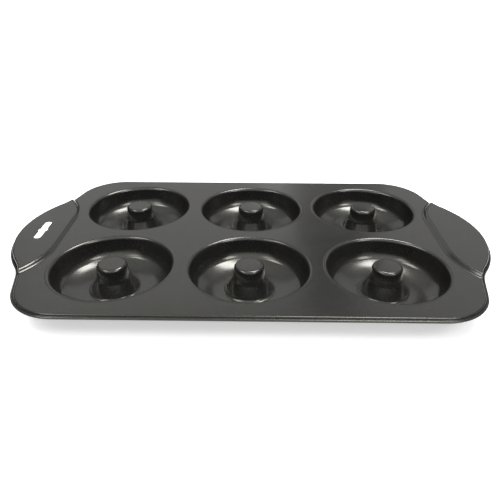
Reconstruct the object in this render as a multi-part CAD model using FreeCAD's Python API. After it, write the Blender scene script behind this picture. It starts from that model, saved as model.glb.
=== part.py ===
"""Doughnut pan: one pressed and coated steel sheet with six ring cavities.

Units are millimetres and degrees. +X runs along the pan towards the plain handle, +Z is up.
The origin is under the middle of the pan, on the surface that its cavities rest on.
Heights in the sections are measured from the top face of the flat plate, and the finished
sheet is lifted at the end so that the undersides of the cavities lie at Z = 0.

Seen from above, every curve is a true arc. In the sections a bend keeps its true radius and
turn, and is drawn by a few flats between points of its arc, because six cavities repeat it.
"""
import FreeCAD, Part
import math
import os

V = FreeCAD.Vector
UP = V(0, 0, 1)

# Sheet, and how closely the flats of a bend follow its arc
sheet_thickness = 0.6
widest_flat_turn = 60.0
longest_flat = 4.6

# Ring cavities
cavity_columns = 3
cavity_rows = 2
cavity_pitch = 100.0
cavity_depth = 19.8
lip_radius_on_plate = 45.6
lip_inside_radius = 2.2
wall_top_draft = 5.0
wall_waist_draft = 12.0
wall_foot_draft = 60.0
wall_radius = 68.0
heel_radius = 7.6
resting_ring_width = 1.4

# Hollow post in the middle of each cavity
post_rise = 1.5
post_radius = 11.1
post_taper = 5.9
post_top_inside_radius = 1.4
foot_radius = 4.0
foot_slope = 50.0
cone_top = 4.8
flare_radius = 7.0

# Flat plate, seen from above: it leaves a margin round the cavities
side_margin = 14.0
end_margin = 13.9
corner_radius = 36.0
plate_half_width = (cavity_rows - 1) / 2 * cavity_pitch + lip_radius_on_plate + side_margin
plate_half_length = (cavity_columns - 1) / 2 * cavity_pitch + lip_radius_on_plate + end_margin

# Handles: a straight flank and a hollow neck lead from each corner to the handle's round end
flank_angle = 14.5
neck_radius = 42.0
handle_radius = 85.0
handle_projection = 26.6
handle_reach = plate_half_length + handle_projection

# Outer edge: a small bend over the wall, a groove, and the edge curled under into a bead
edge_inside_radius = 0.3
wall_drop = 1.1
groove_radius = 0.35
groove_turn = 141.0
bead_inside_radius = 0.25
bead_turn = 262.0

# Raised handle panels and the S-shaped step between them and the plate
panel_rise = 2.4
step_width = 3.7
step_inset = 9.3
step_straight_half = 24.0
step_end_radius = 60.0
step_end_turn = 80.0

# Hanging slot in one handle: a long slot with a round hole at its middle
slot_inset = 17.7
slot_length = 29.5
slot_width = 5.6
slot_hole_diameter = 8.6

# Room that a cutting solid gets beyond what it cuts
cut_clearance = 5.0


def along(heading):
    """Unit step along a heading, as a pair."""
    angle = math.radians(heading)
    return math.cos(angle), math.sin(angle)


def left_of(heading):
    """Unit step to the left of a heading, as a pair."""
    return along(heading + 90.0)


def arc_shift(heading, radius, degrees):
    """How far a point moves along a tangent arc; degrees above zero turn left."""
    signed = math.copysign(radius, degrees)
    before = left_of(heading)
    after = left_of(heading + degrees)
    return signed * (before[0] - after[0]), signed * (before[1] - after[1])


def run(length):
    return "run", length, 0.0


def turn(radius, degrees):
    return "turn", radius, degrees


def fold(degrees):
    return "fold", 0.0, degrees


def advance(point, heading, step):
    """The point and heading at the end of one run, turn or fold."""
    kind, size, degrees = step
    if kind == "run":
        ahead = along(heading)
        return (point[0] + size * ahead[0], point[1] + size * ahead[1]), heading
    shift = arc_shift(heading, size, degrees)
    return (point[0] + shift[0], point[1] + shift[1]), heading + degrees


def plan(x, y):
    return V(x, y, 0)


def plan_track(point, heading, steps, offset):
    """Edges in plan of runs and tangent arcs, all moved by offset to the left."""
    edges = []
    for kind, size, degrees in steps:
        halves = [(kind, size / 2, 0.0)] * 2 if kind == "run" else [(kind, size, degrees / 2)] * 2
        corners = []
        for half in [None] + halves:
            if half:
                point, heading = advance(point, heading, half)
            side = left_of(heading)
            corners.append(plan(point[0] + offset * side[0], point[1] + offset * side[1]))
        if kind == "run":
            edges.append(Part.LineSegment(corners[0], corners[2]).toShape())
        else:
            edges.append(Part.Arc(*corners).toShape())
    return edges


def flats_in(radius, degrees):
    """How many flats stand for a bend, so that none is too long or turns too far."""
    length = radius * math.radians(abs(degrees))
    return math.ceil(max(abs(degrees) / widest_flat_turn, length / longest_flat))


def section_line(point, heading, steps, offset):
    """Corner points of a section of runs, turns and folds, all moved by offset to the left.

    A turn becomes flats between points of its arc, and a fold is a sharp corner whose offset
    lies on its mitre, so the two faces of a strip stay the sheet's thickness apart.
    """
    marks = [(point, left_of(heading), 1.0)]
    for kind, size, degrees in steps:
        if kind == "fold":
            marks[-1] = (point, left_of(heading + degrees / 2), 1 / math.cos(math.radians(degrees / 2)))
            heading += degrees
            continue
        count = flats_in(size, degrees) if kind == "turn" else 1
        part = (kind, size, degrees / count)
        for _ in range(count):
            point, heading = advance(point, heading, part)
            marks.append((point, left_of(heading), 1.0))
    return [(p[0] + offset * reach * s[0], p[1] + offset * reach * s[1]) for p, s, reach in marks]


def strip(point, heading, steps, offset):
    """Outline of the metal between a section line and its parallel at offset to the left."""
    near = section_line(point, heading, steps, 0.0)
    far = section_line(point, heading, steps, offset)
    return near + far[::-1]


def polygon_face(points):
    return Part.Face(Part.makePolygon(points + points[:1]))


def upright_face(outline, point, heading):
    """A section's face, standing across a path in plan, with its first axis to the path's left."""
    side = left_of(heading)
    return polygon_face([V(point[0] + q * side[0], point[1] + q * side[1], z) for q, z in outline])


def sweep(outline, point, heading, steps):
    """Carry a section along runs and turns in plan: each run is pushed, each turn is revolved."""
    solids = []
    for step in steps:
        kind, size, degrees = step
        face = upright_face(outline, point, heading)
        if kind == "run":
            ahead = along(heading)
            solids.append(face.extrude(V(size * ahead[0], size * ahead[1], 0)))
        else:
            side = left_of(heading)
            signed = math.copysign(size, degrees)
            centre = V(point[0] + signed * side[0], point[1] + signed * side[1], 0)
            solids.append(face.revolve(centre, UP, degrees))
        point, heading = advance(point, heading, step)
    return solids


def outline_steps():
    """The pan's outline as runs and turns, clockwise from the start of the back edge.

    A straight flank leaves each corner, and a hollow neck joins it to the handle's round end.
    The neck touches both, which fixes the flank's length and how far the neck turns.
    """
    corner_turn = 90.0 - flank_angle
    corner_shift = arc_shift(0.0, corner_radius, -corner_turn)
    side = left_of(-corner_turn)
    down = along(-corner_turn)
    handle_centre_x = handle_reach - handle_radius
    from_handle = (
        plate_half_length - corner_radius + corner_shift[0] + neck_radius * side[0] - handle_centre_x,
        plate_half_width + corner_shift[1] + neck_radius * side[1],
    )
    half_b = from_handle[0] * down[0] + from_handle[1] * down[1]
    c = from_handle[0] ** 2 + from_handle[1] ** 2 - (neck_radius + handle_radius) ** 2
    flank_length = -half_b - math.sqrt(half_b ** 2 - c)
    neck_centre = from_handle[0] + flank_length * down[0], from_handle[1] + flank_length * down[1]
    handle_angle = math.degrees(math.atan2(neck_centre[1], neck_centre[0]))
    neck_turn = handle_angle - flank_angle
    side_steps = [turn(corner_radius, -corner_turn), run(flank_length), turn(neck_radius, neck_turn)]
    long_side = run(2 * (plate_half_length - corner_radius))
    half = [long_side] + side_steps + [turn(handle_radius, -2 * handle_angle)]
    return (half + side_steps[::-1]) * 2


OUTLINE_START = (corner_radius - plate_half_length, plate_half_width)
OUTLINE = outline_steps()


def bent_block(depth, top, bottom):
    """A block under the skin that lies depth inside the sheet, its top edge bent all the way round."""
    radius = edge_inside_radius + sheet_thickness - depth
    bend = section_line((-depth - radius, top), 0.0, [turn(radius, -90.0)], 0.0)
    rim = [(-depth - radius, bottom)] + bend + [(-depth, bottom)]
    core = Part.Face(Part.Wire(plan_track(OUTLINE_START, 0.0, OUTLINE, -depth - radius)))
    core.translate(UP * bottom)
    return core.extrude(UP * (top - bottom)).fuse(sweep(rim, OUTLINE_START, 0.0, OUTLINE))


def step_line():
    """Start, heading and steps of the step's centre line at the +X end, running towards +Y."""
    end_turn = turn(step_end_radius, -step_end_turn)
    shift = arc_shift(90.0 + step_end_turn, step_end_radius, -step_end_turn)
    start = (plate_half_length - step_inset - shift[0], -step_straight_half - shift[1])
    return start, 90.0 + step_end_turn, [end_turn, run(2 * step_straight_half), end_turn]


def step_section(depth):
    """The space over the step, down to the skin that lies depth inside the sheet."""
    radius = (step_width ** 2 + panel_rise ** 2) / (4 * panel_rise)
    slope = 2 * math.degrees(math.atan2(panel_rise, step_width))
    bends = [turn(radius, -slope), turn(radius, slope)]
    skin = section_line((step_width / 2, 0.0), 180.0, bends, depth)
    ceiling = panel_rise + cut_clearance
    return skin + [(-step_width / 2, ceiling), (step_width / 2, ceiling)]


def space_between_panels(depth, bottom):
    """All the room between the two handle panels, and the room over the steps up to them."""
    start, heading, steps = step_line()
    bands = sweep(step_section(depth), start, heading, steps)
    foot = plan_track(start, heading, steps, step_width / 2)
    low, high = foot[0].firstVertex(True).Point, foot[-1].lastVertex(True).Point
    half_turn = FreeCAD.Placement(V(), FreeCAD.Rotation(UP, 180)).toMatrix()
    far_y = plate_half_width + cut_clearance
    back = Part.makePolygon([high, plan(high.x, far_y), plan(-high.x, far_y), plan(-low.x, -low.y)])
    edges = foot + back.Edges
    edges += [edge.transformed(half_turn) for edge in edges]
    middle = Part.Face(Part.Wire(Part.__sortEdges__(edges)))
    middle.translate(UP * (bottom - cut_clearance))
    height = panel_rise + 2 * cut_clearance - bottom
    bands += [band.transformed(half_turn) for band in bands]
    return middle.extrude(UP * height).fuse(bands)


def skin_block(depth, bottom):
    """The solid under the skin that lies depth inside the sheet's top and outer faces."""
    plate = bent_block(depth, -depth, bottom)
    panels = bent_block(depth, panel_rise - depth, bottom).cut(space_between_panels(depth, bottom))
    return plate.fuse(panels).removeSplitter()


def edge_section():
    """The groove under the wall and the bead that the sheet's edge is curled into."""
    bead_radius = bead_inside_radius + sheet_thickness
    bends = [turn(groove_radius, groove_turn), turn(bead_radius, -bead_turn)]
    return strip((0.0, -wall_drop), -90.0, bends, -sheet_thickness)


def post_steps():
    """The post from the resting ring inwards to the axis, and the ring's radius at its foot.

    A small bend leads up into a steep cone, and a wider one from the cone into the shaft.
    """
    crown_radius = post_top_inside_radius + sheet_thickness
    foot = turn(foot_radius, -foot_slope)
    flare = turn(flare_radius, foot_slope + post_taper - 90.0)
    crown = turn(crown_radius, 90.0 - post_taper)
    foot_shift = arc_shift(180.0, foot_radius, -foot_slope)
    flare_shift = arc_shift(180.0 - foot_slope, flare_radius, flare[2])
    crown_shift = arc_shift(90.0 + post_taper, crown_radius, crown[2])
    cone_way = along(180.0 - foot_slope)
    cone = (cone_top - foot_shift[1]) / cone_way[1]
    upright = along(90.0 + post_taper)
    straight = (cavity_depth + post_rise - cone_top - flare_shift[1] - crown_shift[1]) / upright[1]
    inwards = foot_shift[0] + cone * cone_way[0] + flare_shift[0] + straight * upright[0]
    top = run(post_radius + crown_shift[0])
    return [foot, run(cone), flare, run(straight), crown, top], post_radius - inwards


def cavity_steps():
    """The section of a cavity's top face, from the plate inwards to the axis.

    The wall is a long bend with a tighter heel at its foot. The floor is one shallow arc from
    the heel to the resting ring, where it comes in level. That fixes the arc's radius and the
    slope at which it starts, and the small fold between the heel and the floor.
    """
    post, ring_inside = post_steps()
    lip = turn(lip_inside_radius + sheet_thickness, 90.0 - wall_top_draft)
    wall = turn(wall_radius, wall_top_draft - wall_waist_draft)
    heel = turn(heel_radius, wall_waist_draft - wall_foot_draft)
    point, heading = (lip_radius_on_plate, 0.0), 180.0
    for step in (lip, wall, heel):
        point, heading = advance(point, heading, step)
    across = point[0] - ring_inside - resting_ring_width
    drop = point[1] + cavity_depth
    floor_slope = 2 * math.degrees(math.atan2(drop, across))
    floor = turn((across ** 2 + drop ** 2) / (2 * drop), -floor_slope)
    return [lip, wall, heel, fold(180.0 + floor_slope - heading), floor, run(resting_ring_width)] + post


def cavity(x, y):
    """One ring cavity with its post, turned from a strip of the sheet's thickness."""
    section = strip((lip_radius_on_plate, 0.0), 180.0, cavity_steps(), sheet_thickness)
    return polygon_face([V(x + r, y, z) for r, z in section]).revolve(V(x, y, 0), UP, 360)


def cavity_centres():
    centres = []
    for column in range(cavity_columns):
        for row in range(cavity_rows):
            x = (column - (cavity_columns - 1) / 2) * cavity_pitch
            y = (row - (cavity_rows - 1) / 2) * cavity_pitch
            centres.append((x, y))
    return centres


def hanging_slot():
    """The punch for the slot: a long round-ended slot and a round hole at its middle."""
    height = panel_rise + 2 * cut_clearance
    side = run(slot_length - slot_width)
    centre_x = slot_inset - handle_reach
    start = (centre_x + slot_width / 2, -side[1] / 2)
    edges = plan_track(start, 90.0, [side, turn(slot_width / 2, 180.0)] * 2, 0.0)
    long_slot = Part.Face(Part.Wire(edges)).extrude(UP * height)
    punch = long_slot.fuse(Part.makeCylinder(slot_hole_diameter / 2, height, plan(centre_x, 0)))
    punch.translate(UP * -cut_clearance)
    return punch


def doughnut_pan():
    """The whole pan: skin, cavities and curled edge joined as one sheet, then the slot punched."""
    skin = skin_block(0.0, -wall_drop).cut(skin_block(sheet_thickness, -wall_drop - cut_clearance))
    openings = []
    cavities = []
    for x, y in cavity_centres():
        openings.append(Part.makeCylinder(lip_radius_on_plate, 2 * cut_clearance, V(x, y, -cut_clearance)))
        cavities.append(cavity(x, y))
    edge = sweep(edge_section(), OUTLINE_START, 0.0, OUTLINE)
    sheet = skin.cut(openings).fuse(cavities + edge).removeSplitter().cut(hanging_slot())
    sheet.translate(UP * (cavity_depth + sheet_thickness))
    return sheet.Solids[0] if len(sheet.Solids) == 1 else sheet


os.makedirs("parts", exist_ok=True)
pan = doughnut_pan()
pan.exportStep("parts/doughnut_pan.step")
box = pan.optimalBoundingBox(False, False)
print("doughnut_pan", pan.ShapeType, "valid", pan.isValid(), "solids", len(pan.Solids), "faces", len(pan.Faces))
print("size %.2f x %.2f x %.2f, lowest %.3f" % (box.XLength, box.YLength, box.ZLength, box.ZMin))
print("volume %.1f mm3" % pan.Volume)
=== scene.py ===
# %% [markdown]
# A doughnut pan in coated steel.
#
# The pan is one steel sheet, 0.6 mm thick. A press draws six ring cavities with hollow posts into
# it and steps its two ends up into handles, a roller curls its edge under, and a punch cuts a slot
# that it can hang from. So this script makes one piece too: a closed surface that follows the
# sheet's top face, goes round its curled edge and comes back along its underside.

# %% Frame
import math

import bmesh
import bpy
import numpy as np
from mathutils import Matrix, Vector


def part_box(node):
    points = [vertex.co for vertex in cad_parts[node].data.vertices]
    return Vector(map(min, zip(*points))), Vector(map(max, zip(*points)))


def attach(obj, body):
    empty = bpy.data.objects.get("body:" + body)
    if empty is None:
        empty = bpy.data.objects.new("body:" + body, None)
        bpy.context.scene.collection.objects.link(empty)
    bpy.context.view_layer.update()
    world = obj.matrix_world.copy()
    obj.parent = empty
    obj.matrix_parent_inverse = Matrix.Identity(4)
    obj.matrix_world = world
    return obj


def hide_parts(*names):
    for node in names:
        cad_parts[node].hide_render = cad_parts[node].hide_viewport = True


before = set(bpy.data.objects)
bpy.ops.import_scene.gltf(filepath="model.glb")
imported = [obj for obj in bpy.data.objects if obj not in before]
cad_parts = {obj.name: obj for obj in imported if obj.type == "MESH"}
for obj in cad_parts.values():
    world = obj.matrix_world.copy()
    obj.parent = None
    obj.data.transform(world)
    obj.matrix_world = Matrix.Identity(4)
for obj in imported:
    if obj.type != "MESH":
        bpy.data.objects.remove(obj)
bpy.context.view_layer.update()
pan_low, pan_high = (np.array(corner) * 1000 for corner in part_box("doughnut_pan"))
print("pan in millimetres, from", pan_low.round(2), "to", pan_high.round(2))

# %% [markdown]
# Sizes. Everything here is in millimetres and degrees until a mesh is made. The heights and the
# reach come from the frame; the rest are the radii and slopes that the press tools give the sheet.

# %% Sizes of the sheet
SHEET = 0.6
PANEL_RISE = 2.4
PLATE_Z = pan_high[2] - PANEL_RISE
CAVITY_DEPTH = PLATE_Z - SHEET
print("plate at", PLATE_Z.round(2), "mm, cavities", CAVITY_DEPTH.round(2), "mm deep")

# %% Sizes of a ring cavity and its post
PITCH = 100.0
COLUMNS = (-1, 0, 1)
ROWS = (-0.5, 0.5)
LIP_ON_PLATE = 45.6
SWELL_RADIUS = 3.0
SWELL_SLOPE = 10.0
LIP_RADIUS = 2.8
WALL_TOP_DRAFT = 5.0
WALL_WAIST_DRAFT = 12.0
WALL_FOOT_DRAFT = 55.0
WALL_RADIUS = 59.0
HEEL_RADIUS = 10.0
CREASE_RADIUS = 1.0
RESTING_RING = 1.4
FOOT_RADIUS = 3.0
FOOT_SLOPE = 62.0
CONE_TOP = 9.4
FLARE_RADIUS = 5.0
POST_TAPER = 5.9
POST_RADIUS = 11.1
POST_RISE = 1.5
CROWN_RADIUS = 2.4
print(len(COLUMNS) * len(ROWS), "cavities,", 2 * LIP_ON_PLATE, "mm across at the plate")

# %% Sizes of the edge, seen in section
EDGE_RADIUS = 0.9
WALL_DROP = 1.1
GROOVE_RADIUS = 0.35
GROOVE_TURN = 141.0
BEAD_RADIUS = 0.85
BEAD_TURN = 262.0
print("bead along the edge:", 2 * BEAD_RADIUS, "mm across")

# %% [markdown]
# A section is a line of straight runs and tangent arcs. Two such lines a sheet's thickness apart
# are the two faces of the metal. A curve object could be drawn instead, but its handles would
# leave every radius to the eye, so one function works out a whole section as an array of points.

# %% Runs and turns
def run(length):
    """A straight step of a line."""
    return "run", length, 0.0


def turn(radius, degrees):
    """A step along an arc, which bends to the left where its angle is above zero."""
    return "turn", radius, degrees


def unit(degrees):
    """Unit vectors, or one vector, along headings counted from the first axis to the second."""
    angle = np.radians(degrees)
    return np.stack([np.cos(angle), np.sin(angle)], axis=-1)


# %% Following a line of steps
def follow(start, heading, steps, degrees_per_row=np.inf, longest_row=np.inf):
    """Points and headings along runs and turns, as two arrays.

    On a turn of radius r to the left the centre lies r to the left of the start, and each point
    is the centre minus r times the left-hand normal there; a turn to the right has r below zero.
    A step is divided so that no row turns or measures more than asked.
    """
    points, headings = [np.array([start], float)], [np.array([heading], float)]
    for kind, size, degrees in steps:
        length = size if kind == "run" else size * math.radians(abs(degrees))
        rows = max(1, math.ceil(abs(degrees) / degrees_per_row), math.ceil(length / longest_row))
        share = np.arange(1, rows + 1) / rows
        here, ahead = points[-1][-1], headings[-1][-1]
        if kind == "run":
            points.append(here + size * share[:, None] * unit(ahead))
            headings.append(np.full(rows, ahead))
        else:
            radius = math.copysign(size, degrees)
            bearing = ahead + degrees * share
            points.append(here + radius * (unit(ahead + 90) - unit(bearing + 90)))
            headings.append(bearing)
    return np.concatenate(points), np.concatenate(headings)


def end_of(start, heading, steps):
    """The point where a line of steps ends, and its heading there."""
    points, headings = follow(start, heading, steps)
    return points[-1], headings[-1]


print("a left-hand quarter turn of radius 1 ends at", end_of((0, 0), 0, [turn(1, 90)])[0].round(3))


# %% Two faces of the sheet
def sheet_section(start, heading, steps, side, degrees_per_row):
    """The two faces of the sheet: the line itself, and the line moved sideways by one thickness."""
    points, headings = follow(start, heading, steps, degrees_per_row)
    return points, points + side * SHEET * unit(headings + 90)


# %% [markdown]
# The post is what makes a ring of the batter. It stands up inside the cavity like a bell: a small
# bend leads from the floor into a steep cone, a wider bend from there into a nearly upright shaft,
# and a rounded crown ends in a flat top. The heights that the cone and the crown reach are given,
# so the function first follows the bends alone and lets the straight parts take what is left.

# %% Section of the post
FLAT_BORDER = 0.25
TOP_DISC = 1.0


def post_steps():
    """The post from the resting ring to its flat top, and the radius at which it starts.

    A straight part that leans from the level by an angle is as long as the height left for it,
    divided by the angle's sine; the shaft's taper leans from the upright, so there it is the
    cosine. The flat top stops short of the middle, where a small disc closes it.
    """
    foot = turn(FOOT_RADIUS, -FOOT_SLOPE)
    flare = turn(FLARE_RADIUS, FOOT_SLOPE + POST_TAPER - 90)
    crown = turn(CROWN_RADIUS, 90 - POST_TAPER)
    foot_end, _ = end_of((0, 0), 180, [foot])
    cone = run((CONE_TOP - foot_end[1]) / math.sin(math.radians(FOOT_SLOPE)))
    bends_end, _ = end_of((0, 0), 180, [foot, cone, flare, crown])
    shaft = run((CAVITY_DEPTH + POST_RISE - bends_end[1]) / math.cos(math.radians(POST_TAPER)))
    shaft_end, _ = end_of((0, 0), 180, [foot, cone, flare, shaft])
    crown_end, _ = end_of((0, 0), 90 + POST_TAPER, [crown])
    top = run(POST_RADIUS + crown_end[0] - TOP_DISC)
    return [foot, cone, flare, shaft, crown, top], POST_RADIUS - shaft_end[0]


print("post:", round(2 * post_steps()[1], 1), "mm across at its foot and", 2 * POST_RADIUS, "at its top")

# %% [markdown]
# The ring cavity. Its section starts on the flat plate and runs inwards: over a low swell and the
# lip, down a steep wall, round a heel and a slight crease, along a floor like a shallow bowl to
# the flat ring that the pan rests on, and up the post. The floor has to meet the crease and the
# ring without a kink. A circle that touches the level ring from above and holds the crease's
# circle inside it does both, and its radius follows from the distance between the two centres.

# %% Section of a ring cavity
ROW_TURN = 9.0
SWELL_WIDTH = (SWELL_RADIUS + LIP_RADIUS) * math.sin(math.radians(SWELL_SLOPE))
SWELL_START = LIP_ON_PLATE + FLAT_BORDER + SWELL_WIDTH


def cavity_steps():
    """The whole section from the plate to the post's top, with the floor's circle worked out.

    The floor's centre stands its own radius R above the end of the ring. The centre of the crease,
    whose radius is r, lies a known way across from there and at a known height h above the ring.
    The centres are R less r apart, so the squares of the way across and of R less h add up to the
    square of R less r, which leaves R. The same triangle gives the floor's slope at the crease.
    """
    post, foot_at = post_steps()
    wall = [run(FLAT_BORDER), turn(SWELL_RADIUS, -SWELL_SLOPE)]
    wall.append(turn(LIP_RADIUS, SWELL_SLOPE + 90 - WALL_TOP_DRAFT))
    wall.append(turn(WALL_RADIUS, WALL_TOP_DRAFT - WALL_WAIST_DRAFT))
    wall.append(turn(HEEL_RADIUS, WALL_WAIST_DRAFT - WALL_FOOT_DRAFT))
    wall_end, heading = end_of((SWELL_START, 0), 180, wall)
    crease_centre = wall_end + CREASE_RADIUS * unit(heading - 90)
    across = crease_centre[0] - foot_at - RESTING_RING
    above = crease_centre[1] + CAVITY_DEPTH
    floor_radius = (across ** 2 + above ** 2 - CREASE_RADIUS ** 2) / (2 * (above - CREASE_RADIUS))
    floor_slope = math.degrees(math.atan2(across, floor_radius - above))
    crease = turn(CREASE_RADIUS, 180 + floor_slope - heading)
    return wall + [crease, turn(floor_radius, -floor_slope), run(RESTING_RING)] + post


cavity_line = sheet_section((SWELL_START, 0), 180, cavity_steps(), 1, ROW_TURN)
print("cavity section:", len(cavity_line[0]), "rows, lowest", cavity_line[1][:, 1].min().round(3))

# %% [markdown]
# The edge gives the thin sheet its stiffness and spares the fingers. It drops over a small bend,
# turns in to a groove and is curled under into a bead that stays open. How far the bead stands
# out is measured on a finely divided copy, because the outline has to stay that much inside the
# pan's reach.

# %% Section of the edge
EDGE_ROW_TURN = 15.0
MEASURING_TURN = 1.0
EDGE_START = (-EDGE_RADIUS - FLAT_BORDER, 0)

edge_steps = [
    run(FLAT_BORDER),
    turn(EDGE_RADIUS, -90),
    run(WALL_DROP - EDGE_RADIUS),
    turn(GROOVE_RADIUS, GROOVE_TURN),
    turn(BEAD_RADIUS, -BEAD_TURN),
]
edge_line = sheet_section(EDGE_START, 0, edge_steps, -1, EDGE_ROW_TURN)
edge_overhang = follow(EDGE_START, 0, edge_steps, MEASURING_TURN)[0][:, 0].max()
print("edge section:", len(edge_line[0]), "rows, standing out", edge_overhang.round(3), "mm")

# %% [markdown]
# The outline, seen from above, is made of runs and turns as well: a long side, a rounded corner, a
# straight flank, a hollow neck and the round end of the handle, and then the same again. The neck
# touches the flank and the handle's circle, which fixes the flank's length and the neck's turn.

# %% Outline in plan
CORNER_RADIUS = 36.0
FLANK_ANGLE = 14.5
NECK_RADIUS = 42.0
HANDLE_RADIUS = 85.0
END_MARGIN = 13.9
FINE_ROW = 0.02
FINE_TURN = 0.05

plate_half_length = LIP_ON_PLATE + PITCH + END_MARGIN
plate_half_width = pan_high[1] - edge_overhang
handle_reach = pan_high[0] - edge_overhang


def outline_steps():
    """One long side, corner, flank, neck, handle end, neck, flank and corner, going clockwise.

    The neck's centre lies the neck's radius to the left of the flank, and it is as far from the
    handle's centre as the two radii together: a quadratic in the flank's length, whose smaller
    root is the one that is wanted.
    """
    corner = turn(CORNER_RADIUS, FLANK_ANGLE - 90)
    start = (plate_half_length - CORNER_RADIUS, plate_half_width)
    corner_end, heading = end_of(start, 0, [corner])
    down_flank = unit(heading)
    handle_centre = np.array([handle_reach - HANDLE_RADIUS, 0])
    apart = corner_end + NECK_RADIUS * unit(heading + 90) - handle_centre
    along = apart @ down_flank
    flank = -along - math.sqrt(along ** 2 - apart @ apart + (NECK_RADIUS + HANDLE_RADIUS) ** 2)
    neck_centre = apart + flank * down_flank
    handle_angle = math.degrees(math.atan2(neck_centre[1], neck_centre[0]))
    side = [corner, run(flank), turn(NECK_RADIUS, handle_angle - FLANK_ANGLE)]
    return [run(2 * start[0])] + side + [turn(HANDLE_RADIUS, -2 * handle_angle)] + side[::-1]


# %% Fine track along the outline
outline_start = (CORNER_RADIUS - plate_half_length, plate_half_width)
fine, fine_heading = follow(outline_start, 0, outline_steps() * 2, FINE_TURN, FINE_ROW)
fine_length = np.concatenate([[0], np.cumsum(np.hypot(*np.diff(fine, axis=0).T))])
outline_gap = np.hypot(*(fine[-1] - fine[0]))
print("outline:", fine_length[-1].round(1), "mm round, closed within", outline_gap.round(6))

# %% [markdown]
# The step up to each handle. Seen from above its middle line is straight and then bends outwards
# at both ends, so the distance from that line says everything: how high the sheet lies there, and
# which points belong to the plate, to the step or to the handle. A height that is a formula of x
# and y has another use. The curled edge crosses the step, and lifting the edge's own section by
# the same formula lets the two run into each other smoothly, as pressed metal does.

# %% Place of the step in plan
STEP_INSET = 9.3
STEP_WIDTH = 5.4
STEP_STRAIGHT_HALF = 24.0
STEP_END_RADIUS = 60.0

step_x = plate_half_length - STEP_INSET
print("step: middle line", round(step_x, 1), "mm from the pan's middle")


def distance_from_step(points):
    """How far points lie from the step's middle line, above zero on the plate's side.

    Beside the straight part that is the difference in x. Past it the line is an arc about a
    centre further out, and the distance from that centre, less the radius, is what is wanted.
    """
    x, y = np.abs(points[..., 0]), np.abs(points[..., 1])
    past = np.maximum(y - STEP_STRAIGHT_HALF, 0)
    return np.hypot(step_x + STEP_END_RADIUS - x, past) - STEP_END_RADIUS


def step_x_at(y, distance):
    """The x of a line that keeps a distance from the step's middle line, at a given y.

    It turns the formula of distance_from_step round: x is the centre's, less the square root of
    what the squared radius and distance leave over the squared way past the straight part.
    """
    past = np.maximum(np.abs(y) - STEP_STRAIGHT_HALF, 0)
    return step_x + STEP_END_RADIUS - np.sqrt((STEP_END_RADIUS + distance) ** 2 - past ** 2)


# %% Height of the sheet over its plan
step_bend = (STEP_WIDTH ** 2 + PANEL_RISE ** 2) / (4 * PANEL_RISE)
step_slope = 2 * math.atan2(PANEL_RISE, STEP_WIDTH)


def step_height(distance, depth=0.0):
    """Height above the plate, for a skin that lies depth inside the sheet.

    Two arcs make an S: one hollow that leaves the plate level, one round that reaches the
    handle level. Inside the sheet the hollow's radius grows by depth and the round's shrinks.
    """
    along = np.clip(STEP_WIDTH / 2 - distance, 0, STEP_WIDTH)
    hollow, rounded = step_bend + depth, step_bend - depth
    rising = step_bend - np.sqrt(np.maximum(hollow ** 2 - along ** 2, 0))
    back = STEP_WIDTH - along
    levelling = PANEL_RISE - step_bend + np.sqrt(np.maximum(rounded ** 2 - back ** 2, 0))
    return np.where(along < hollow * math.sin(step_slope), rising, levelling)


print("halfway up the step the sheet has climbed", step_height(0.0).round(3), "of", PANEL_RISE, "mm")

# %% [markdown]
# Building the mesh. Most of it is grids: a section carried along a path, or turned about an axis.
# Each grid is worked out as one array of points, and the blocks meet point on point, so joining
# doubles at the end closes the sheet. The flat plate and handles are what is left between the
# grids, and a constrained triangulation of the plan fills them.

# %% A collection of blocks
blocks = []


def add_faces(points, faces):
    """Keep a block of points, with faces that are rows of point numbers."""
    blocks.append((np.asarray(points, float), np.asarray(faces, int)))


def add_grid(points, closed):
    """Quads between neighbouring rows and columns; a closed grid's last row meets its first."""
    rows, columns = points.shape[:2]
    index = np.arange(rows * columns).reshape(rows, columns)
    if closed:
        index = np.concatenate([index, index[:1]])
    a, b, c, d = index[:-1, :-1], index[1:, :-1], index[1:, 1:], index[:-1, 1:]
    add_faces(points.reshape(-1, 3), np.stack([a, b, c, d], axis=-1).reshape(-1, 4))


# %% [markdown]
# Each cavity is its section turned round the post's axis, once for the top face of the sheet and
# once for the underside. The Screw modifier could turn a drawn profile just as well, but as an
# array it ends on the plate in points that are known, and the post's flat top is closed at once.

# %% Ring cavities
AROUND = 90
compass = unit(np.arange(AROUND) * 360 / AROUND)


def turned(section, centre):
    """A section's radii laid out along every bearing from a centre, and its heights kept."""
    plan = centre + compass[:, None, :] * section[None, :, :1]
    height = np.broadcast_to(section[:, 1], plan.shape[:2])
    return np.concatenate([plan, height[..., None]], axis=-1)


cavity_centres = [np.array([column * PITCH, row * PITCH]) for column in COLUMNS for row in ROWS]
for centre in cavity_centres:
    top, under = (turned(section, centre) for section in cavity_line)
    add_grid(top, closed=True)
    add_grid(under[:, ::-1], closed=True)
    add_faces(top[:, -1], [np.arange(AROUND)])
    add_faces(under[:, -1], [np.arange(AROUND)[::-1]])
print("cavities:", len(cavity_centres), "with", AROUND, "columns of", len(cavity_line[0]), "points")

# %% [markdown]
# The edge runs all round. Its columns stand across the outline, and where the step crosses it one
# column stands at the end of each line of the step's grid, so that the two grids share points.

# %% Lines of the step, and where they cross the outline
STEP_ROWS = 14

step_rows = np.linspace(STEP_WIDTH / 2, -STEP_WIDTH / 2, STEP_ROWS + 1)
step_lines = np.concatenate([[step_rows[0] + FLAT_BORDER], step_rows, [step_rows[-1] - FLAT_BORDER]])
edge_border = EDGE_START[0]


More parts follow.
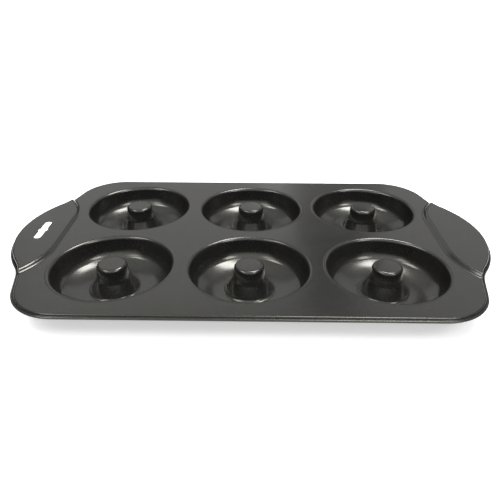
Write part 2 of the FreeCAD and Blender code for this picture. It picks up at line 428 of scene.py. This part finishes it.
def crossings(lines):
    """Lengths along the outline where the edge's border crosses lines, and which line it is.

    A crossing lies where the distance from the step, less the line's own, changes its sign
    between two points of the fine track, at the share of the way that the two values give.
    """
    beyond = distance_from_step(fine + edge_border * unit(fine_heading + 90))[:, None] - lines
    at, line = np.nonzero(beyond[:-1] * beyond[1:] < 0)
    before, after = beyond[at, line], beyond[at + 1, line]
    return fine_length[at] + before / (before - after) * np.diff(fine_length)[at], line


crossing_length, crossing_line = crossings(step_lines)
print("the edge crosses the step's", len(step_lines), "lines at", len(crossing_length), "places")

# %% Columns of the edge
COLUMN_SPACING = 2.6
CROSSING_CLEARANCE = 0.4


def on_outline(length):
    """Points and outward normals at lengths along the outline, read off its fine track."""
    points = np.stack([np.interp(length, fine_length, fine[:, axis]) for axis in (0, 1)], axis=-1)
    return points, unit(np.interp(length, fine_length, fine_heading) + 90)


regular_length = np.arange(0, fine_length[-1], COLUMN_SPACING)
regular_points, regular_normals = on_outline(regular_length)
regular_distance = distance_from_step(regular_points + edge_border * regular_normals)
clear = np.abs(regular_distance) > step_lines[0] + CROSSING_CLEARANCE
edge_length = np.sort(np.concatenate([regular_length[clear], crossing_length]))
edge_points, edge_normals = on_outline(edge_length)
print("edge columns:", len(edge_length), "of which", len(crossing_length), "on the step's lines")


# %% Edge grid
HAIR = 1e-9


def edge_grid(section, depth):
    """The edge's section at every column, its bend lifted to the height of the sheet there.

    Below the bend nothing is lifted, so the groove and the bead run level all round, and the wall
    over them is higher beside the handles. A hair's width allows for rounding.
    """
    plan = edge_points[:, None] + edge_normals[:, None] * section[None, :, :1]
    lift = step_height(distance_from_step(plan), depth) + depth
    in_bend = section[:, 1] >= -EDGE_RADIUS - HAIR
    height = section[:, 1] + np.where(in_bend, lift, 0)
    return np.concatenate([plan, height[..., None]], axis=-1)


outer, inner = edge_grid(edge_line[0], 0.0), edge_grid(edge_line[1], SHEET)
edge_loop = np.concatenate([outer, inner[:, ::-1]], axis=1)
add_grid(edge_loop, closed=True)
print("edge grid:", edge_loop.shape[0], "columns of", edge_loop.shape[1], "points")

# %% Step grids
STEP_COLUMNS = 48

crossing_points, crossing_normals = on_outline(crossing_length)
crossing_y = np.abs(crossing_points + edge_border * crossing_normals)[:, 1]
step_ends = np.array([crossing_y[crossing_line == line].mean() for line in range(len(step_lines))])


def step_grid(side, depth):
    """Lines at set distances from the step's middle line, each from edge to edge of the pan."""
    y = np.linspace(-1, 1, STEP_COLUMNS) * step_ends[:, None]
    x = side * step_x_at(y, step_lines[:, None])
    z = np.broadcast_to(step_height(step_lines, depth)[:, None], x.shape)
    return np.stack([x, y, z], axis=-1)


for side in (1, -1):
    for depth in (0.0, SHEET):
        add_grid(step_grid(side, depth), closed=False)
print("steps:", len(step_lines), "lines each, up to", (2 * step_ends.max()).round(1), "mm long")

# %% [markdown]
# The hanging slot is punched through one handle: a long slot with round ends, and a round hole at
# its middle. Small arcs ease the corners where the hole meets the slot, and the punched edge is
# slightly round because the coating softens it. A Boolean could cut the slot, but it would leave
# thin faces in a sheet that mirrors the lamps; one more grid leaves a clean border to fill up to.

# %% Track of the hanging slot
SLOT_INSET = 17.7
SLOT_LENGTH = 29.5
SLOT_HALF_WIDTH = 2.8
SLOT_HOLE_RADIUS = 3.8
SLOT_EASING = 0.5
SLOT_ROW_TURN = 15.0
SLOT_ROW = 2.0


def slot_track():
    """Right side of the slot going up, its round end, and the same again going down.

    The easing arc touches the slot's side from outside and the hole's circle from outside, so its
    centre is an easing radius beyond the side and the two radii together from the hole's centre.
    """
    beyond = SLOT_HALF_WIDTH + SLOT_EASING
    apart = SLOT_HOLE_RADIUS + SLOT_EASING
    angle = math.degrees(math.acos(beyond / apart))
    straight = run(SLOT_LENGTH / 2 - SLOT_HALF_WIDTH - math.sqrt(apart ** 2 - beyond ** 2))
    bulge = [turn(SLOT_EASING, -angle), turn(SLOT_HOLE_RADIUS, 2 * angle), turn(SLOT_EASING, -angle)]
    half = [straight] + bulge + [straight, turn(SLOT_HALF_WIDTH, 180)]
    start = (SLOT_INSET - handle_reach + SLOT_HALF_WIDTH, SLOT_HALF_WIDTH - SLOT_LENGTH / 2)
    return follow(start, 90, half * 2, SLOT_ROW_TURN, SLOT_ROW)


slot_points, slot_headings = (array[:-1] for array in slot_track())
print("hanging slot:", len(slot_points), "points round it")

# %% Punched edge of the slot
PUNCHED_RADIUS = 0.15
PUNCHED_ROW_TURN = 30.0

slot_edge = [run(FLAT_BORDER), turn(PUNCHED_RADIUS, 90), run(SHEET - 2 * PUNCHED_RADIUS)]
slot_edge += [turn(PUNCHED_RADIUS, 90), run(FLAT_BORDER)]
slot_start = (PUNCHED_RADIUS + FLAT_BORDER, PANEL_RISE)
slot_section, _ = follow(slot_start, 180, slot_edge, PUNCHED_ROW_TURN)
slot_plan = slot_points[:, None] + unit(slot_headings - 90)[:, None] * slot_section[None, :, :1]
slot_height = np.broadcast_to(slot_section[:, 1], slot_plan.shape[:2])
slot_grid = np.concatenate([slot_plan, slot_height[..., None]], axis=-1)
add_grid(slot_grid, closed=True)
print("blocks so far:", len(blocks))

# %% [markdown]
# The blocks are joined where they share points. What is then still open are the borders of the
# flat plate and of the two flat handles, on both faces of the sheet, and those are filled level by
# level. The result is one closed surface: every edge in it has a face on either side.

# %% One closed sheet
JOIN_DISTANCE = 1e-5
LEVELS = (0.0, -SHEET, PANEL_RISE, PANEL_RISE - SHEET)


def fill_level(work, height):
    """Fill the open borders that lie at one height; loops inside other loops stay holes."""
    borders = [edge for edge in work.edges if len(edge.link_faces) == 1
               and all(abs(vertex.co.z - height) < JOIN_DISTANCE for vertex in edge.verts)]
    made = bmesh.ops.triangle_fill(
        work, use_beauty=True, use_dissolve=False, edges=borders, normal=(0, 0, 1))
    faces = [item for item in made["geom"] if isinstance(item, bmesh.types.BMFace)]
    print("filled at", round(height * 1000, 2), "mm with", len(faces), "triangles")


def build_sheet(name):
    """All blocks in one mesh, in metres and at the plate's height, joined and filled."""
    starts = np.cumsum([0] + [len(points) for points, _ in blocks])
    points = np.concatenate([points for points, _ in blocks]) + [0, 0, PLATE_Z]
    faces = [face for (_, block), start in zip(blocks, starts) for face in (block + start).tolist()]
    mesh = bpy.data.meshes.new(name)
    mesh.from_pydata(points / 1000, [], faces)
    work = bmesh.new()
    work.from_mesh(mesh)
    bmesh.ops.remove_doubles(work, verts=work.verts, dist=JOIN_DISTANCE)
    for level in LEVELS:
        fill_level(work, (PLATE_Z + level) / 1000)
    bmesh.ops.recalc_face_normals(work, faces=work.faces)
    open_edges = sum(1 for edge in work.edges if len(edge.link_faces) != 2)
    volume = work.calc_volume() * 1e9
    work.to_mesh(mesh)
    work.free()
    print(name, "edges without two faces:", open_edges, "metal:", round(volume), "mm3")
    return mesh


# %% [markdown]
# The sheet is shaded smooth, and only edges that bend by more than 40 degrees stay sharp, such as
# the cut rim inside the curled edge. The finished piece rides on the part's one body and takes the
# place of the plain CAD pan.

# %% The pressed sheet
SHARP_FROM = math.radians(40)
sheet = bpy.data.objects.new("pressed_sheet", build_sheet("pressed_sheet"))
bpy.context.scene.collection.objects.link(sheet)
sheet.data.shade_smooth()
sheet.data.set_sharp_from_angle(angle=SHARP_FROM)
print("triangles", sum(len(face.vertices) - 2 for face in sheet.data.polygons))
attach(sheet, "root")
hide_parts("doughnut_pan")

# %% [markdown]
# The coating is a dark grey non-stick paint that is sprayed on and baked. It is smooth enough to
# mirror soft lights, and sprayed paint always keeps a faint orange-peel ripple. Fine pale grains
# in it show as a light speckle. A painted image could hold all that, but it would need the curved
# sheet laid out flat. A pattern that depends only on the place on the object never stretches, so
# one node group works it out from the object's own coordinates, which are in metres, and the
# shader keeps the plain values.

# %% Helpers for shader nodes
def new_node(tree, kind, **values):
    """A node of one kind, with attributes and inputs set by name."""
    node = tree.nodes.new("ShaderNode" + kind)
    for name, value in values.items():
        if name in node.inputs:
            node.inputs[name].default_value = value
        else:
            setattr(node, name, value)
    return node


def socket(sockets, identifier):
    """The socket with one identifier, for a node whose sockets share their names."""
    return next(item for item in sockets if item.identifier == identifier)


def spread(tree, source, from_low, from_high, to_low, to_high):
    """Map one value range onto another, smoothly and held at its ends."""
    node = new_node(tree, "MapRange", interpolation_type="SMOOTHSTEP")
    ends = {"From Min": from_low, "From Max": from_high, "To Min": to_low, "To Max": to_high}
    for name, value in ends.items():
        node.inputs[name].default_value = value
    tree.links.new(source, node.inputs["Value"])
    return node.outputs["Result"]


def larger(tree, first, second):
    """The larger of two values."""
    node = new_node(tree, "Math", operation="MAXIMUM")
    tree.links.new(first, node.inputs[0])
    tree.links.new(second, node.inputs[1])
    return node.outputs[0]


# %% Pattern of the coating
GRAIN_SIZE = 0.0007
GRAIN_FROM = 0.55
RIPPLE_SIZE = 0.0016
CLOUD_SIZE = 0.03
CLOUD_LOW = 0.3
CLOUD_HIGH = 0.7
GLOSSIEST = 0.17
DULLEST = 0.21


def coating_group():
    """Grain mask, roughness and ripple height of the coating.

    A cell pattern gives each grain its own random value, and only the highest show as pale. The
    roughness follows a wide cloudy noise, and the height a noise as fine as the orange peel.
    """
    group = bpy.data.node_groups.new("sprayed_coating", "ShaderNodeTree")
    for name in ("Grain", "Roughness", "Height"):
        group.interface.new_socket(name=name, in_out="OUTPUT", socket_type="NodeSocketFloat")
    place = new_node(group, "TexCoord").outputs["Object"]
    grains = new_node(group, "TexVoronoi", Scale=1 / GRAIN_SIZE)
    clouds = new_node(group, "TexNoise", Scale=1 / CLOUD_SIZE, Detail=3)
    ripple = new_node(group, "TexNoise", Scale=1 / RIPPLE_SIZE, Detail=2)
    split = new_node(group, "SeparateColor")
    for node in (grains, clouds, ripple):
        group.links.new(place, node.inputs["Vector"])
    group.links.new(grains.outputs["Color"], split.inputs[0])
    mask = spread(group, split.outputs[0], GRAIN_FROM, 1, 0, 1)
    roughness = spread(group, clouds.outputs[0], CLOUD_LOW, CLOUD_HIGH, GLOSSIEST, DULLEST)
    end = group.nodes.new("NodeGroupOutput")
    group.links.new(mask, end.inputs["Grain"])
    group.links.new(roughness, end.inputs["Roughness"])
    group.links.new(ripple.outputs[0], end.inputs["Height"])
    return group


# %% Coating
PAINT = (0.0108, 0.0106, 0.0098, 1)
PALE_GRAIN = (0.0185, 0.0182, 0.0168, 1)
COAT_SPECULAR = 0.6
COAT_TINT = (1.0, 0.99, 0.9, 1)
RIPPLE_STRENGTH = 0.012
RIPPLE_DEPTH = 0.0001

coating = bpy.data.materials.new("dark_coating")
coating.use_nodes = True
coat_tree = coating.node_tree
coat = coat_tree.nodes["Principled BSDF"]
coat.inputs["Specular IOR Level"].default_value = COAT_SPECULAR
coat.inputs["Specular Tint"].default_value = COAT_TINT
pattern = new_node(coat_tree, "Group", node_tree=coating_group())
colour = new_node(coat_tree, "Mix", data_type="RGBA")
socket(colour.inputs, "A_Color").default_value = PAINT
socket(colour.inputs, "B_Color").default_value = PALE_GRAIN
ripple = new_node(coat_tree, "Bump", Strength=RIPPLE_STRENGTH, Distance=RIPPLE_DEPTH)
coat_tree.links.new(pattern.outputs["Grain"], socket(colour.inputs, "Factor_Float"))
coat_tree.links.new(socket(colour.outputs, "Result_Color"), coat.inputs["Base Color"])
coat_tree.links.new(pattern.outputs["Roughness"], coat.inputs["Roughness"])
coat_tree.links.new(pattern.outputs["Height"], ripple.inputs["Height"])
coat_tree.links.new(ripple.outputs["Normal"], coat.inputs["Normal"])
sheet.data.materials.append(coating)
print("coating:", len(coat_tree.nodes), "nodes and", len(pattern.node_tree.nodes), "in the group")

# %% [markdown]
# The camera stands in front of the pan, about 0.4 m from its middle, and looks down at about 30
# degrees with a slightly wide lens. Its height counts from the plate, which is what fills the
# picture, so the view keeps if the cavities get deeper.

# %% Camera
SENSOR = 36.0
LENS = 36.381
CAMERA_PLACE = (4.45, -361.92)
CAMERA_OVER_PLATE = 192.84
CAMERA_TURN = 0.727
CAMERA_DOWN = 29.865
CAMERA_ROLL = 0.175

camera_data = bpy.data.cameras.new("camera")
camera_data.sensor_width = SENSOR
camera_data.lens = LENS
camera = bpy.data.objects.new("camera", camera_data)
bpy.context.scene.collection.objects.link(camera)
heading = Matrix.Rotation(math.radians(CAMERA_TURN), 4, "Z")
tilt = Matrix.Rotation(math.radians(90 - CAMERA_DOWN), 4, "X")
roll = Matrix.Rotation(math.radians(CAMERA_ROLL), 4, "Z")
camera_place = Vector((*CAMERA_PLACE, PLATE_Z + CAMERA_OVER_PLATE)) / 1000
camera.matrix_world = Matrix.Translation(camera_place) @ heading @ tilt @ roll
bpy.context.scene.camera = camera
print("camera at", [round(value, 3) for value in camera_place], "m")

# %% [markdown]
# The lamps are soft boxes. A dark semi-gloss sheet takes most of its look from what it mirrors:
# two wide dim panels behind the pan give the flat plate its sheen, and a low, dimmer one softens
# the darker gap between them. Small bright boxes high up make the short highlights on the floors,
# lips and posts, and two broad panels in front light the feet of the walls. Each lamp is given as
# a place in the sky, the angles that it fills and its radiance, so that its picture in the sheet
# is known before it is rendered.

# %% Soft boxes
LAMP_DISTANCE = 4.0


def soft_box(name, azimuth, elevation, half_width, half_height, radiance):
    """A rectangular lamp turned towards the pan, given by half the angles it fills and its radiance.

    Azimuth counts from straight behind the pan towards its right-hand side. A lamp of area A
    that sends out radiance L on one side has the power pi L A. Its distance is in metres.
    """
    level, rise = math.cos(math.radians(elevation)), math.sin(math.radians(elevation))
    across, away = math.sin(math.radians(azimuth)), math.cos(math.radians(azimuth))
    place = Vector((across * level, away * level, rise)) * LAMP_DISTANCE
    lamp = bpy.data.lights.new(name, "AREA")
    lamp.shape = "RECTANGLE"
    lamp.size = 2 * LAMP_DISTANCE * math.tan(math.radians(half_width))
    lamp.size_y = 2 * LAMP_DISTANCE * math.tan(math.radians(half_height))
    lamp.energy = radiance * math.pi * lamp.size * lamp.size_y
    box = bpy.data.objects.new(name, lamp)
    box.matrix_world = Matrix.Translation(place) @ place.to_track_quat("Z", "Y").to_matrix().to_4x4()
    bpy.context.scene.collection.objects.link(box)


soft_box("high_back_box", 32, 66, 12, 7, 19.0)
soft_box("high_right_box", 88, 74, 8, 6, 7.0)
soft_box("high_left_box", -97, 60, 10, 7, 9.0)
soft_box("overhead_box", 180, 78, 26, 18, 0.7)
soft_box("front_left_box", -132, 50, 8, 8, 4.0)
soft_box("front_right_box", 130, 48, 8, 8, 9.0)
soft_box("front_panel", 180, 44, 40, 15, 0.95)
soft_box("low_front_panel", 180, 19, 40, 10, 0.5)
soft_box("left_panel", -14, 28, 17.5, 11, 0.71)
soft_box("right_panel", 31, 27, 13, 10, 0.64)
soft_box("low_back_panel", 9, 20, 8, 6, 0.35)

# %% [markdown]
# The room. A studio is darker near its floor than overhead, and a semi-gloss sheet shows that, so
# the world's strength rises with the height that a ray climbs to. The camera itself sees plain
# white where the floor ends. The lamps and the room together light the pan at an ordinary level.

# %% Room
ROOM_LOW = 0.06
ROOM_HIGH = 0.8
CLIMB_LOW = 0.4
CLIMB_HIGH = 0.9

room = bpy.data.worlds.new("studio_room")
room.use_nodes = True
room_tree = room.node_tree
background = room_tree.nodes["Background"]
background.inputs["Color"].default_value = (1, 1, 1, 1)
ray = new_node(room_tree, "SeparateXYZ")
room_tree.links.new(new_node(room_tree, "TexCoord").outputs["Generated"], ray.inputs[0])
room_level = spread(room_tree, ray.outputs["Z"], CLIMB_LOW, CLIMB_HIGH, ROOM_LOW, ROOM_HIGH)
room_path = new_node(room_tree, "LightPath")
camera_ray, clear_ray = room_path.outputs["Is Camera Ray"], room_path.outputs["Is Transmission Ray"]
sees_white = larger(room_tree, camera_ray, clear_ray)
room_tree.links.new(larger(room_tree, room_level, sees_white), background.inputs["Strength"])
bpy.context.scene.world = room
bpy.context.scene.view_settings.view_transform = "Standard"
print("room: strength", ROOM_LOW, "near the floor and", ROOM_HIGH, "overhead")

# %% [markdown]
# The floor is a large white sheet of paper. Its colour gives it most of its brightness, and a
# glow that only the camera, mirrored and transmitted rays see lifts it to white, so it still takes
# the pan's soft shadow.

# %% Floor
FLOOR_HALF = 6.0

floor_mesh = bpy.data.meshes.new("floor")
corners = [(-FLOOR_HALF, -FLOOR_HALF, 0), (FLOOR_HALF, -FLOOR_HALF, 0)]
corners += [(FLOOR_HALF, FLOOR_HALF, 0), (-FLOOR_HALF, FLOOR_HALF, 0)]
floor_mesh.from_pydata(corners, [], [(0, 1, 2, 3)])
floor = bpy.data.objects.new("floor", floor_mesh)
bpy.context.scene.collection.objects.link(floor)
print("floor:", 2 * FLOOR_HALF, "m square")

# %% White paper
PAPER_WHITE = 0.85
PAPER_ROUGHNESS = 0.9
PAPER_GLOW = 0.5

paper = bpy.data.materials.new("white_paper")
paper.use_nodes = True
paper_tree = paper.node_tree
paper_shader = paper_tree.nodes["Principled BSDF"]
paper_shader.inputs["Base Color"].default_value = (PAPER_WHITE, PAPER_WHITE, PAPER_WHITE, 1)
paper_shader.inputs["Roughness"].default_value = PAPER_ROUGHNESS
paper_shader.inputs["Emission Color"].default_value = (1, 1, 1, 1)
paper_path = new_node(paper_tree, "LightPath")
seen = larger(paper_tree, paper_path.outputs["Is Camera Ray"], paper_path.outputs["Is Glossy Ray"])
seen = larger(paper_tree, seen, paper_path.outputs["Is Transmission Ray"])
glow = new_node(paper_tree, "Math", operation="MULTIPLY")
glow.inputs[1].default_value = PAPER_GLOW
paper_tree.links.new(seen, glow.inputs[0])
paper_tree.links.new(glow.outputs[0], paper_shader.inputs["Emission Strength"])
floor_mesh.materials.append(paper)
print("paper: colour", PAPER_WHITE, "and glow", PAPER_GLOW)
